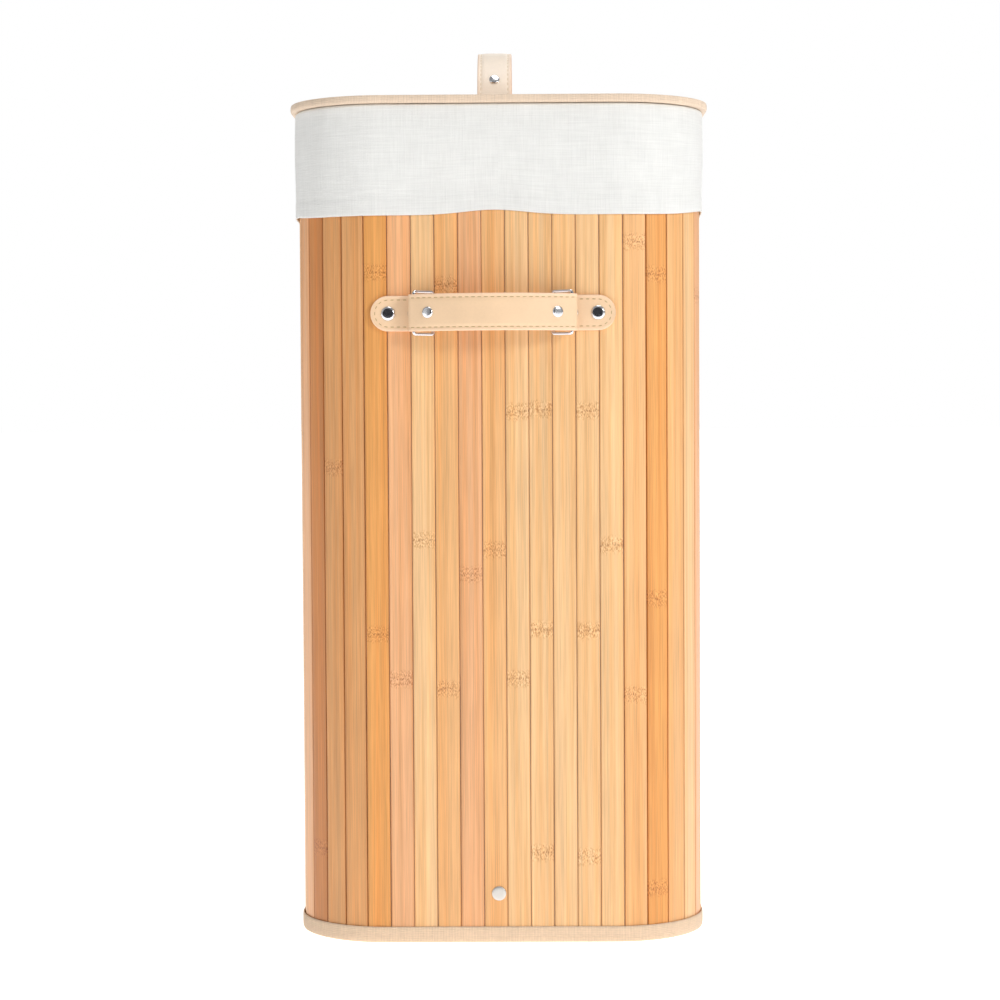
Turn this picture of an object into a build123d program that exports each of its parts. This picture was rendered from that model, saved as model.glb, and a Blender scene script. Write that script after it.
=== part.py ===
from build123d import *

# Rectangular bamboo laundry hamper with a lift-off lid, a removable cotton liner and three strap handles.
#
# Frame: millimetres, +Z up, the origin on the floor under the middle of the hamper. X runs across the
# narrow ends, Y along the length. The end at -Y is the front.

import os
from math import asin, cos, degrees, pi, radians, sin, tan

# ---- driving dimensions -------------------------------------------------------------------------
body_width = 292.0
body_length = 392.0
corner_radius = 64.0
overall_height = 600.0  # floor to the top of the lid's edge binding

slat_thickness = 2.0
slat_count = 75
slat_gap = 0.3
slat_chamfer = 0.35
centre_x = -4.0  # the mat, handles and rivets sit this far off the middle of each narrow end
backing_thickness = 0.8

tape_thickness = 0.8
tape_clearance = 0.1  # between the outside tape and the slats
inner_tape_inset = 3.5  # clears the chords of the corner slats
base_tape_height = 11.4
base_tape_thickness = 1.0
base_flange_width = 18.0
rim_tape_height = 13.0

base_board_thickness = 3.5
base_lining_thickness = 0.6
base_inset = 3.6

liner_thickness = 1.0
liner_inset = 9.5  # outside of the bag, inward from the slats' outer face
skirt_offset = 1.2  # inside of the turned-down skirt, outward from the slats' outer face
skirt_bottom = 516.0
part_gap = 0.2  # between pieces that only rest on each other

lid_overhang = 5.5
lid_tape_thickness = 0.6
lid_tape_width = 10.0
lid_slat_thickness = 1.6
lid_board_thickness = 2.2
lid_lining_thickness = 0.4

wire_radius = 1.75
wire_width = 130.0
wire_bottom = 20.0
wire_top = 560.0
wire_bend = 12.0
keeper_width = 20.0
keeper_ply = 1.6
keeper_length = 24.0
keeper_x = 2.0  # keeper rivets, from centre_x
base_rivet_height = 35.0
rim_rivet_height = 545.0

side_handle_height = 447.0
tab_width = 25.0
tab_thickness = 2.4
tab_ply = 1.2
tab_inner_rivet = 12.7  # from the ring's pivot
tab_outer_rivet = 31.7
ring_wire = 1.25
ring_depth = 16.0  # between the axes of the ring's two long legs
ring_height = 29.9  # between the axes of the ring's two short bars
ring_bend = 1.6
ring_clearance = 0.1
strap_width = 26.0
strap_ply = 1.9
strap_fold = 20.0  # length of the strap's turned-back end
strap_rivet = 12.9  # from the ring's leg, along the strap
fold_clearance = 0.75  # round the ring's leg in the strap's fold
fold_play = 1.0  # and this much more along the strap

shank_radius = 1.5
hole_radius = 1.6
tab_rivet_head = 4.9
strap_rivet_head = 3.8
keeper_rivet_head = 5.1
washer_radius = 4.5
washer_thickness = 1.0

# ---- values worked out from them ------------------------------------------------------------------
pivot_height = tab_ply + ring_wire + ring_clearance  # ring pivot above the surface it is riveted to
wall_bottom = base_tape_thickness
wall_top = overall_height - 2 * part_gap - liner_thickness - tape_thickness
wall_top -= lid_slat_thickness + lid_board_thickness + lid_lining_thickness + 2 * lid_tape_thickness
rim_top = wall_top + tape_thickness
liner_top = rim_top + part_gap + liner_thickness
lid_bottom = liner_top + part_gap
base_top = wall_bottom + base_board_thickness + base_lining_thickness
lid_face = overall_height - lid_tape_thickness  # top of the lid's slats

inner_radius = corner_radius - slat_thickness
half_front = body_width / 2 - corner_radius
side_straight = body_length - 2 * corner_radius
quarter = pi / 2 * inner_radius
girth = 4 * half_front + 2 * side_straight + 4 * quarter
slat_pitch = girth / slat_count
backing_face = slat_thickness + backing_thickness  # inner face of the wall, below the slats' outer face

REGIONS = (
    "front",
    "corner_front_right",
    "right",
    "corner_back_right",
    "back",
    "corner_back_left",
    "left",
    "corner_front_left",
    "front",
)
STRAIGHTS = (half_front, side_straight, 2 * half_front, side_straight, half_front)


def wall_spot(distance, inset=0.0):
    """The point and region at a distance round the slats' inner face, from the front's middle, seen
    from above anticlockwise. inset moves the point inward."""
    left = distance % girth
    x, y = 0.0, slat_thickness - body_length / 2
    for turn, straight in enumerate(STRAIGHTS):
        heading = turn * pi / 2
        ahead = Vector(cos(heading), sin(heading))
        inward = Vector(-sin(heading), cos(heading))
        if left <= straight or turn == len(STRAIGHTS) - 1:
            return Vector(x, y) + ahead * left + inward * inset, REGIONS[2 * turn]
        left -= straight
        centre = Vector(x, y) + ahead * straight + inward * inner_radius
        if left <= quarter:
            angle = heading + left / inner_radius
            outward = Vector(sin(angle), -cos(angle))
            return centre + outward * (inner_radius - inset), REGIONS[2 * turn + 1]
        left -= quarter
        corner_end = centre + ahead * inner_radius
        x, y = corner_end.X, corner_end.Y


def outline(offset, mode=Mode.ADD):
    """The hamper's rounded rectangle, moved out from the slats' outer face by offset."""
    RectangleRounded(body_width + 2 * offset, body_length + 2 * offset, corner_radius + offset, mode=mode)


def ring_band(outer, inner, bottom, top):
    """A closed band between two offsets of the outline."""
    with BuildSketch(Plane.XY.offset(bottom)) as band:
        outline(outer)
        outline(inner, Mode.SUBTRACT)
    extrude(band.sketch, amount=top - bottom)


def wall_plane(end, x, z):
    """A plane on the outer face of a narrow end: local x along the wall, y up, z outward."""
    way = -1 if end == "front" else 1
    return Plane(origin=(-way * x, way * body_length / 2, z), x_dir=(-way, 0, 0), z_dir=(0, way, 0))


def profile_of(plane):
    """The plane across a surface plane's y axis: local x as before, local y along its normal."""
    return Plane(origin=plane.origin, x_dir=plane.x_dir, z_dir=-plane.y_dir)


def moved(plane, x, y, z=0.0):
    """The same plane with its origin moved to a local point."""
    return Plane(origin=plane.from_local_coords((x, y, z)), x_dir=plane.x_dir, z_dir=plane.z_dir)


def keep(builder, name):
    """Labels a finished piece and writes it as one node."""
    builder.part.label = name
    export_step(builder.part, f"parts/{name}.step")


def rivet(plane, head_radius, grip):
    """A rivet at the plane's origin: domed head, shank through grip, peened tail."""
    head_height = 0.36 * head_radius
    tail_radius = 0.75 * head_radius
    tail_height = 1.0
    with BuildSketch(profile_of(plane)) as profile:
        with BuildLine():
            RadiusArc((head_radius, 0), (0, head_height), -(head_radius**2 + head_height**2) / (2 * head_height))
            Line((0, head_height), (0, -grip - tail_height))
            RadiusArc(
                (0, -grip - tail_height),
                (tail_radius, -grip),
                -(tail_radius**2 + tail_height**2) / (2 * tail_height),
            )
            Polyline((tail_radius, -grip), (shank_radius, -grip), (shank_radius, 0), (head_radius, 0))
        make_face()
    revolve(profile.sketch, axis=Axis(plane.origin, plane.z_dir))


def washer(plane):
    """A flat washer whose outer face lies on the plane, built towards its back."""
    with BuildSketch(plane) as face:
        Circle(washer_radius)
        Circle(hole_radius, mode=Mode.SUBTRACT)
    extrude(face.sketch, amount=-washer_thickness)


def drill(plane, spots, depth):
    """Rivet holes into the open part, from the plane down."""
    with BuildSketch(plane) as holes:
        with Locations(*spots):
            Circle(hole_radius)
    extrude(holes.sketch, amount=-depth, mode=Mode.SUBTRACT)


class Handle:
    """Where a strap handle sits and the shape it rests in. Built as its half on local +x, and that half
    turned half a turn about the plane's normal."""

    def __init__(self, name, plane, pivot, ring_angle, rise, notch, wall_grip):
        self.name = name
        self.plane = plane
        self.pivot = pivot  # ring pivot from the handle's middle
        self.ring_angle = radians(ring_angle)  # above the surface, leaning away from the middle
        self.rise = rise  # of the strap's middle above the ring's legs
        self.notch = notch  # degrees left open at the middle of the strap, each side
        self.wall_grip = wall_grip  # what the rivets hold besides the tab
        self.leg_x = pivot + ring_depth * cos(self.ring_angle)
        self.leg_z = pivot_height + ring_depth * sin(self.ring_angle)
        self.bow = (self.leg_x**2 + rise**2) / (2 * rise)  # radius of the strap's line
        self.bow_z = self.leg_z + rise - self.bow
        self.leg_turn = degrees(asin(self.leg_x / self.bow))

    def sides(self):
        turned = Plane(origin=self.plane.origin, x_dir=-self.plane.x_dir, z_dir=self.plane.z_dir)
        return (("right", self.plane), ("left", turned))

    def tab_rivets(self):
        spots = (self.pivot + tab_inner_rivet, self.pivot + tab_outer_rivet)
        return [(side * x, 0) for side in (1, -1) for x in spots]

    def strap_point(self, along, lift=0.0):
        """Local x and z at an arc length from the ring's leg towards the middle, on the strap's line."""
        angle = radians(90 - self.leg_turn) + along / self.bow
        reach = self.bow + lift
        return reach * cos(angle), self.bow_z + reach * sin(angle), angle


def make_tab(handle, side, plane):
    """A leather tab, riveted down and folded round the ring's pivot leg."""
    with BuildPart() as tab:
        with BuildSketch(plane):
            with Locations((handle.pivot + tab_outer_rivet / 2, 0)):
                Rectangle(tab_outer_rivet, tab_width)
            with Locations((handle.pivot + tab_outer_rivet, 0)):
                Circle(tab_width / 2)
        extrude(amount=tab_thickness)
        fillet(tab.edges().group_by(Axis(plane.origin, plane.z_dir))[-1].filter_by(GeomType.CIRCLE), 0.5)
        with BuildSketch(profile_of(plane)):
            with Locations((handle.pivot, pivot_height)):
                Circle(pivot_height)
        extrude(amount=tab_width / 2, both=True)
        with BuildSketch(profile_of(plane)):
            with Locations((handle.pivot, pivot_height)):
                Circle(ring_wire + ring_clearance)
        extrude(amount=tab_width, both=True, mode=Mode.SUBTRACT)
        spots = ((handle.pivot + tab_inner_rivet, 0), (handle.pivot + tab_outer_rivet, 0))
        drill(plane.offset(2 * tab_thickness), spots, 4 * tab_thickness)
    keep(tab, f"{handle.name}_tab_{side}")


def make_ring(handle, side, plane):
    """A rectangular wire ring, from the tab's fold to the strap's fold."""
    half_depth, half_height = ring_depth / 2, ring_height / 2
    lean = Vector(cos(handle.ring_angle), 0, sin(handle.ring_angle))
    middle = Vector(handle.pivot, 0, pivot_height) + lean * half_depth
    across = plane.from_local_coords(middle + lean) - plane.from_local_coords(middle)
    ring_plane = Plane(
        origin=plane.from_local_coords(middle),
        x_dir=across,
        z_dir=across.cross(plane.y_dir),
    )
    with BuildPart() as ring:
        with BuildLine(ring_plane) as path:
            FilletPolyline(
                (half_depth, -half_height),
                (half_depth, half_height),
                (-half_depth, half_height),
                (-half_depth, -half_height),
                radius=ring_bend,
                close=True,
            )
        with BuildSketch(Plane(origin=path.wire() @ 0, z_dir=path.wire() % 0)):
            Circle(ring_wire)
        sweep(path=path.wire())
    keep(ring, f"{handle.name}_ring_{side}")


def make_strap_half(handle, side, plane):
    """Half of a strap: its line is an arc over the ring's leg, and its end is folded back under itself."""
    bow, centre = handle.bow, (0, handle.bow_z)
    under = ring_wire + fold_clearance  # underside of the top ply, above the strap's line
    top = under + strap_ply
    start = 90 - handle.leg_turn
    squeeze = 0.45 * strap_fold  # where the folded ply meets the top one
    leg = (handle.leg_x, handle.leg_z)
    with BuildPart() as strap:
        with BuildSketch(profile_of(plane)):
            with BuildLine():
                reach = tan(radians(handle.notch)) / bow
                outer = CenterArc(centre, bow + top, start, 90 - start - degrees(reach * top))
                inner = CenterArc(centre, bow + under, start, 90 - start - degrees(reach * under))
                Line(outer @ 1, inner @ 1)
                Line(outer @ 0, inner @ 0)
            make_face()
            with Locations(leg):
                Circle(top)
            with BuildLine():
                x0, z0, _ = handle.strap_point(0, -top)
                x1, z1, _ = handle.strap_point(squeeze, under - strap_ply)
                x2, z2, _ = handle.strap_point(squeeze, under + 0.1)
                x3, z3, _ = handle.strap_point(0, under + 0.1)
                Polyline((x0, z0), (x1, z1), (x2, z2), (x3, z3), close=True)
            make_face()
            with BuildLine():
                first = start + degrees(0.95 * squeeze / bow)
                length = degrees((strap_fold - 0.95 * squeeze) / bow)
                upper = CenterArc(centre, bow + under + 0.1, first, length)
                lower = CenterArc(centre, bow + under - strap_ply, first, length)
                Line(upper @ 0, lower @ 0)
                Line(upper @ 1, lower @ 1)
            make_face()
            with Locations(leg):
                SlotCenterToCenter(fold_play, 2 * under, rotation=-handle.leg_turn, mode=Mode.SUBTRACT)
        extrude(amount=strap_width / 2, both=True)
        drill(strap_rivet_plane(handle, plane), ((0, 0),), 3 * strap_ply)
    keep(strap, f"{handle.name}_strap_{side}")


def strap_rivet_plane(handle, plane):
    """The plane on the strap's top face where its rivet goes."""
    x, z, angle = handle.strap_point(strap_rivet, ring_wire + fold_clearance + strap_ply)
    origin = plane.from_local_coords((x, 0, z))
    tip = plane.from_local_coords((x + cos(angle), 0, z + sin(angle)))
    return Plane(origin=origin, x_dir=plane.y_dir, z_dir=tip - origin)


def make_handle(handle):
    """Every piece of one handle."""
    for side, plane in handle.sides():
        make_tab(handle, side, plane)
        make_ring(handle, side, plane)
        make_strap_half(handle, side, plane)
        with BuildPart() as fastener:
            rivet(strap_rivet_plane(handle, plane), strap_rivet_head, 2 * strap_ply + part_gap)
        keep(fastener, f"{handle.name}_strap_rivet_{side}")
    with BuildPart() as rivets:
        for x, y in handle.tab_rivets():
            grip = tab_thickness + handle.wall_grip + washer_thickness
            rivet(moved(handle.plane, x, y, tab_thickness), tab_rivet_head, grip)
    keep(rivets, f"{handle.name}_tab_rivets")
    with BuildPart() as washers:
        for x, y in handle.tab_rivets():
            washer(moved(handle.plane, x, y, -handle.wall_grip))
    keep(washers, f"{handle.name}_washers")


def make_slats(region, slats):
    """One stretch of the wall's upright slats, each a separate strip."""
    with BuildPart() as wall:
        for number in slats:
            start, _ = wall_spot(first_edge + number * slat_pitch)
            end, _ = wall_spot(first_edge + (number + 1) * slat_pitch)
            middle = (start + end) * 0.5
            spot = Plane(origin=(middle.X, middle.Y, wall_bottom), x_dir=end - start, z_dir=(0, 0, 1))
            with BuildSketch(spot) as section:
                Rectangle((end - start).length - slat_gap, slat_thickness, align=(Align.CENTER, Align.MAX))
                chamfer(section.vertices().group_by(Axis.Y)[0], slat_chamfer)
            extrude(amount=wall_top - wall_bottom)
        for end in ("front", "back"):
            if end in region:
                drill_wall(end)
    keep(wall, f"slats_{region}")


def drill_wall(end):
    """Every rivet hole through one narrow end."""
    drill(wall_plane(end, centre_x, side_handle_height), side_handles[end].tab_rivets(), 2 * backing_face)
    for height in (base_rivet_height, rim_rivet_height):
        drill(wall_plane(end, centre_x + keeper_x, height), ((0, 0),), 2 * backing_face)


def make_wall():
    """The slats, the cloth they are glued to and the tapes that bind its edges."""
    groups = {}
    for number in range(slat_count):
        _, region = wall_spot(first_edge + (number + 0.5) * slat_pitch)
        groups.setdefault(region, []).append(number)
    for region, slats in groups.items():
        make_slats(region, slats)

    edges = [first_edge + number * slat_pitch for number in range(slat_count)]
    with BuildPart() as backing:
        with BuildSketch(Plane.XY.offset(wall_bottom)):
            with BuildLine():
                Polyline(*[wall_spot(edge)[0] for edge in edges], close=True)
            make_face()
            with BuildLine():
                Polyline(*[wall_spot(edge, backing_thickness)[0] for edge in edges], close=True)
            make_face(mode=Mode.SUBTRACT)
        extrude(amount=wall_top - wall_bottom)
        for end in ("front", "back"):
            drill_wall(end)
    keep(backing, "wall_backing")

    outer = tape_clearance + tape_thickness
    inner = -inner_tape_inset - tape_thickness
    with BuildPart() as rim:
        ring_band(outer, tape_clearance, rim_top - rim_tape_height, rim_top)
        ring_band(-inner_tape_inset, inner, rim_top - rim_tape_height, rim_top)
        ring_band(outer, inner, wall_top, rim_top)
    keep(rim, "rim_tape")

    with BuildPart() as base_tape:
        ring_band(tape_clearance + base_tape_thickness, tape_clearance, 0, base_tape_height)
    keep(base_tape, "base_tape")
    with BuildPart() as flange:
        ring_band(0, -base_flange_width, 0, base_tape_thickness)
    keep(flange, "base_tape_flange")


def make_base():
    """The base board, which lies on the base tape's flange, and its cloth lining."""
    for name, bottom, thickness in (
        ("base_board", wall_bottom, base_board_thickness),
        ("base_lining", wall_bottom + base_board_thickness, base_lining_thickness),
    ):
        with BuildPart() as layer:
            with BuildSketch(Plane.XY.offset(bottom)):
                outline(-base_inset)
            extrude(amount=thickness)
        keep(layer, name)


def make_support(end):
    """The wire frame that keeps one narrow end flat, and the keepers and rivets that hold it."""
    inside = moved(wall_plane(end, centre_x, 0), 0, 0, -backing_face)
    loop_radius = wire_radius + ring_clearance + keeper_ply / 2
    wire_depth = loop_radius + 0.05
    with BuildPart() as frame:
        with BuildLine(inside.offset(-wire_depth)) as path:
            FilletPolyline(
                (wire_width / 2, wire_bottom),
                (wire_width / 2, wire_top),
                (-wire_width / 2, wire_top),
                (-wire_width / 2, wire_bottom),
                radius=wire_bend,
                close=True,
            )
        with BuildSketch(Plane(origin=path.wire() @ 0, z_dir=path.wire() % 0)):
            Circle(wire_radius)
        sweep(path=path.wire())
    keep(frame, f"support_wire_{end}")

    with BuildPart() as keepers:
        for bar, way in ((wire_bottom, 1), (wire_top, -1)):
            with BuildSketch(moved(inside, keeper_x, bar + way * keeper_length / 2)):
                Rectangle(keeper_width, keeper_length)
            extrude(amount=-keeper_ply)
            across = moved(inside, keeper_x, bar, -wire_depth)
            with BuildSketch(Plane(origin=across.origin, x_dir=across.y_dir, z_dir=across.x_dir)):
                Circle(loop_radius)
            extrude(amount=keeper_width / 2, both=True)
            with BuildSketch(Plane(origin=across.origin, x_dir=across.y_dir, z_dir=across.x_dir)):
                Circle(wire_radius + ring_clearance)
            extrude(amount=keeper_width, both=True, mode=Mode.SUBTRACT)
        for height in (base_rivet_height, rim_rivet_height):
            drill(moved(inside, keeper_x, height, 1), ((0, 0),), 3 * keeper_ply)
    keep(keepers, f"wire_keepers_{end}")


def make_keeper_fasteners():
    """The rivets that show low on each narrow end, their hidden pairs under the skirt, and the washers."""
    for name, height in (("base_rivets", base_rivet_height), ("rim_rivets", rim_rivet_height)):
        with BuildPart() as rivets:
            for end in ("front", "back"):
                grip = backing_face + keeper_ply + washer_thickness
                head = keeper_rivet_head if name == "base_rivets" else 0.6 * keeper_rivet_head
                rivet(wall_plane(end, centre_x + keeper_x, height), head, grip)
        keep(rivets, name)
    with BuildPart() as washers:
        for end in ("front", "back"):
            for height in (base_rivet_height, rim_rivet_height):
                spot = wall_plane(end, centre_x + keeper_x, height)
                washer(spot.offset(-backing_face - keeper_ply))
    keep(washers, "keeper_washers")


def make_liner():
    """The cotton liner: a bag inside the wall, its bottom, and the skirt sewn on to turn out over the rim."""
    bag_outer, bag_inner = -liner_inset, -liner_inset - liner_thickness
    skirt_outer = skirt_offset + liner_thickness
    floor = base_top + part_gap
    with BuildPart() as bag:
        ring_band(bag_outer, bag_inner, floor + liner_thickness, liner_top - liner_thickness)
    keep(bag, "liner_bag")
    with BuildPart() as skirt:
        ring_band(skirt_outer, skirt_offset, skirt_bottom, liner_top)
        ring_band(skirt_outer, bag_inner, liner_top - liner_thickness, liner_top)
    keep(skirt, "liner_skirt")
    with BuildPart() as bottom:
        with BuildSketch(Plane.XY.offset(floor)):
            outline(bag_outer)
        extrude(amount=liner_thickness)
    keep(bottom, "liner_bottom")


def make_lid(handle):
    """The lid: slats over a board, lined underneath and bound with tape."""
    core = lid_overhang - lid_tape_thickness
    lining_bottom = lid_bottom + lid_tape_thickness
    board_bottom = lining_bottom + lid_lining_thickness
    slat_bottom = board_bottom + lid_board_thickness
    for name, bottom, thickness in (
        ("lid_lining", lining_bottom, lid_lining_thickness),
        ("lid_board", board_bottom, lid_board_thickness),
        ("lid_slats", slat_bottom, lid_slat_thickness),
    ):
        with BuildPart() as layer:
            with BuildSketch(Plane.XY.offset(bottom)):
                outline(core)
                if name == "lid_slats":
                    joints = int(body_length / slat_pitch)
                    with GridLocations(0, slat_pitch, 1, joints):
                        Rectangle(2 * body_width, slat_gap, mode=Mode.SUBTRACT)
            extrude(amount=thickness)
            drill(handle.plane, handle.tab_rivets(), 2 * handle.wall_grip)
        keep(layer, name)
    with BuildPart() as tape:
        ring_band(lid_overhang, core, lid_bottom, overall_height)
        ring_band(lid_overhang, lid_overhang - lid_tape_width, lid_bottom, lining_bottom)
        ring_band(lid_overhang, lid_overhang - lid_tape_width, lid_face, overall_height)
    keep(tape, "lid_tape")


first_edge = centre_x - slat_pitch / 2
side_handles = {
    end: Handle(
        name=f"{end}_handle",
        plane=wall_plane(end, centre_x, side_handle_height),
        pivot=42.3,
        ring_angle=35.0,
        rise=14.5,
        notch=11.0,
        wall_grip=backing_face + 2 * part_gap,
    )
    for end in ("front", "back")
}
lid_handle = Handle(
    name="lid_handle",
    plane=Plane(origin=(centre_x, 0, lid_face), x_dir=(0, 1, 0), z_dir=(0, 0, 1)),
    pivot=39.6,
    ring_angle=70.0,
    rise=35.3,
    notch=22.5,
    wall_grip=lid_slat_thickness + lid_board_thickness + lid_lining_thickness,
)

os.makedirs("parts", exist_ok=True)
make_wall()
make_base()
for end in ("front", "back"):
    make_support(end)
make_keeper_fasteners()
make_liner()
make_lid(lid_handle)
for handle in (*side_handles.values(), lid_handle):
    make_handle(handle)
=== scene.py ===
import random
from math import asin, atan2, cos, pi, radians, sin

import bpy
import numpy as np
from mathutils import Matrix, Vector


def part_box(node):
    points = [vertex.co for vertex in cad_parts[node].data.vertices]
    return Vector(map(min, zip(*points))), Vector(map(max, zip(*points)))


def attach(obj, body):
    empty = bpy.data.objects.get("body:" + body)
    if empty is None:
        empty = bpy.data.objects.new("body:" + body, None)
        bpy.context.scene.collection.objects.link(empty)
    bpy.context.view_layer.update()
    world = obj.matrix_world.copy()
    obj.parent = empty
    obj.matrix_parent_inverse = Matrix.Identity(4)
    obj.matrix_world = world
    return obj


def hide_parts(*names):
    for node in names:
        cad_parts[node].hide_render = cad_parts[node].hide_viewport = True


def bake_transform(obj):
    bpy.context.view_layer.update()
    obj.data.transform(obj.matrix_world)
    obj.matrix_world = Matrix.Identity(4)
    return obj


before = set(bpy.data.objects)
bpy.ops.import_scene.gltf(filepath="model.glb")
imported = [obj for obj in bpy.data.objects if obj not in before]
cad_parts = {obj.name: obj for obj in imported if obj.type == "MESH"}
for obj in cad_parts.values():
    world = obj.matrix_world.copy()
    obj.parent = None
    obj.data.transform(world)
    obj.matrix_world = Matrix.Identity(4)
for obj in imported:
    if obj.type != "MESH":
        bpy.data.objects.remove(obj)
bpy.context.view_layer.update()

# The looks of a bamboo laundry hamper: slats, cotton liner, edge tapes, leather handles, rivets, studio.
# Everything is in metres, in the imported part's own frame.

rng = random.Random(17)

# ---- sizes ----
half_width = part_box("slats_right")[1].x  # outer face of the wall
half_length = -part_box("slats_front")[0].y
corner_radius = 0.064
wire = 0.00125  # radius of the ring wire
strap_half, strap_ply, strap_fold = 0.013, 0.0019, 0.020
strap_under = 0.0020  # underside of the strap's top ply above the ring leg's axis
strap_rivet_along = 0.0129
tab_half, tab_ply = 0.0125, 0.0012
tab_inner, tab_outer = 0.0127, 0.0317  # rivets from the ring's pivot
stitch_pitch = 0.00445
cloth = 0.001  # thickness of the liner's cotton
tape_rib = 0.0011
top_steps = 46  # points along half of the strap's top ply
fold_steps = 14  # points of the strap's fold that its stitches run into


# ---- mesh building ----
class Piece:
    """Collects grids of points into one mesh. The corner attribute flat holds each grid's own (u, v)."""

    def __init__(self):
        self.points, self.faces, self.flats, self.values, self.count = [], [], [], {}, 0

    def grid(self, points, u, v, wrap_u=False, wrap_v=False, caps=False, **values):
        """Quads through points[i][j]. u and v are one longer than the grid where it wraps round."""
        rows, columns = points.shape[:2]
        quads_u, quads_v = rows - (not wrap_u), columns - (not wrap_v)
        i, j = (x.ravel() for x in np.meshgrid(np.arange(quads_u), np.arange(quads_v), indexing="ij"))
        corners = ((i, j), (i + 1, j), (i + 1, j + 1), (i, j + 1))
        quads = np.stack([(a % rows) * columns + b % columns for a, b in corners], axis=1) + self.count
        flats = np.stack([np.stack([u[a], v[b]], axis=1) for a, b in corners], axis=1).reshape(-1, 2)
        faces, flats = quads.tolist(), [flats]
        if caps:
            ring = np.arange(columns)
            last = (rows - 1) * columns + ring[::-1]
            faces += [(ring + self.count).tolist(), (last + self.count).tolist()]
            flats += [np.stack([np.full(columns, u[0]), v[:columns]], axis=1)]
            flats += [np.stack([np.full(columns, u[rows - 1]), v[:columns][::-1]], axis=1)]
        flat_points = points.reshape(-1, 3)
        self.points.append(flat_points)
        self.faces += faces
        self.flats += flats
        for name, value in values.items():
            value = np.broadcast_to(np.asarray(value, float), (len(flat_points), np.size(value)))
            self.values.setdefault(name, []).append(value)
        self.count += len(flat_points)

    def build(self, name, material, body=None, replaces=(), slot=None, sharp=None):
        """The finished object, with outward normals, on its body."""
        mesh = bpy.data.meshes.new(name)
        points = np.concatenate(self.points)
        mesh.from_pydata(points.tolist(), [], self.faces)
        flat = mesh.attributes.new("flat", "FLOAT_VECTOR", "CORNER")
        flats = np.concatenate(self.flats)
        flat.data.foreach_set("vector", np.column_stack([flats, np.zeros(len(flats))]).ravel())
        for key, parts in self.values.items():
            value = np.concatenate(parts)
            kind, field = ("FLOAT", "value") if value.shape[1] == 1 else ("FLOAT_VECTOR", "vector")
            mesh.attributes.new(key, kind, "POINT").data.foreach_set(field, value.ravel())
        if enclosed_volume(mesh) < 0:
            mesh.flip_normals()
        mesh.shade_smooth()
        if sharp is not None:
            mesh.set_sharp_from_angle(angle=radians(sharp))
        return placed(bpy.data.objects.new(name, mesh), material, body, replaces)


def placed(made, material, body=None, replaces=()):
    """Links an object, gives it its material, hangs it on its body and hides the CAD parts it replaces."""
    bpy.context.scene.collection.objects.link(made)
    made.data.materials.clear()
    made.data.materials.append(material)
    if body:
        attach(made, body)
    if replaces:
        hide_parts(*replaces)
    return made


def enclosed_volume(mesh):
    """Three times the signed volume of a closed mesh: negative where its faces point inwards."""
    total = 0.0
    points = mesh.vertices
    for face in mesh.polygons:
        total += points[face.vertices[0]].co.dot(face.normal) * face.area
    return total


def thickened(made, thickness):
    """Gives a cloth surface its thickness, evenly to both sides."""
    solid = made.modifiers.new("thickness", "SOLIDIFY")
    solid.thickness = thickness
    solid.offset = 0
    graph = bpy.context.evaluated_depsgraph_get()
    solid_made = made.evaluated_get(graph)
    mesh = bpy.data.meshes.new_from_object(solid_made, preserve_all_data_layers=True, depsgraph=graph)
    made.modifiers.clear()
    made.data = mesh
    mesh.shade_smooth()
    return made


def smoothstep(t):
    t = np.clip(t, 0, 1)
    return t * t * (3 - 2 * t)


# ---- the wall's outline ----
quarter = pi / 2 * corner_radius
flat_x, flat_y = half_width - corner_radius, half_length - corner_radius
girth = 4 * (flat_x + flat_y + quarter)


def outline_spot(distance):
    """A point on the wall's outer face and its outward normal, anticlockwise from the front's middle."""
    left = distance % girth
    x, y = 0.0, -half_length
    for turn, straight in enumerate((flat_x, 2 * flat_y, 2 * flat_x, 2 * flat_y, flat_x)):
        heading = turn * pi / 2
        ahead = Vector((cos(heading), sin(heading)))
        outward = Vector((ahead.y, -ahead.x))
        if left <= straight or turn == 4:
            return Vector((x, y)) + ahead * left, outward
        left -= straight
        centre = Vector((x, y)) + ahead * straight - outward * corner_radius
        if left <= quarter:
            angle = heading + left / corner_radius
            outward = Vector((sin(angle), -cos(angle)))
            return centre + outward * corner_radius, outward
        left -= quarter
        x, y = centre + ahead * corner_radius


def around(columns):
    """Evenly spaced spots of the outline, their normals, and the distance to each and to the end."""
    distances = np.linspace(0, girth, columns + 1)
    found = [outline_spot(s) for s in distances[:-1]]
    return np.array([p for p, _ in found]), np.array([n for _, n in found]), distances


def band(columns, offsets, heights):
    """A grid round the wall: column i stands offsets[i][j] outside the outline at heights[i][j]."""
    spots, normals, distances = around(columns)
    offsets = np.broadcast_to(offsets, (columns, np.shape(offsets)[-1]))
    grid = np.zeros((*offsets.shape, 3))
    grid[..., :2] = spots[:, None] + normals[:, None] * offsets[..., None]
    grid[..., 2] = heights
    return grid, distances


def ripple(cycles, lean, seed):
    """A seeded wave round the wall, from -1 to 1, that drifts with height: f(distance, height)."""
    dice = random.Random(seed)
    terms = [(n, dice.uniform(-lean, lean), dice.uniform(0, 2 * pi), dice.uniform(0.5, 1)) for n in cycles]
    total = sum(t[3] for t in terms)

    def wave(distance, height):
        waves = [a * np.sin(2 * pi * n * distance / girth + k * height + p) for n, k, p, a in terms]
        return sum(waves) / total

    return wave


# ---- materials ----
def srgb(red, green, blue):
    """A screen colour as the shader's linear colour."""
    shares = [c / 255 for c in (red, green, blue)]
    return tuple(c / 12.92 if c <= 0.04 else ((c + 0.055) / 1.055) ** 2.4 for c in shares)


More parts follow.
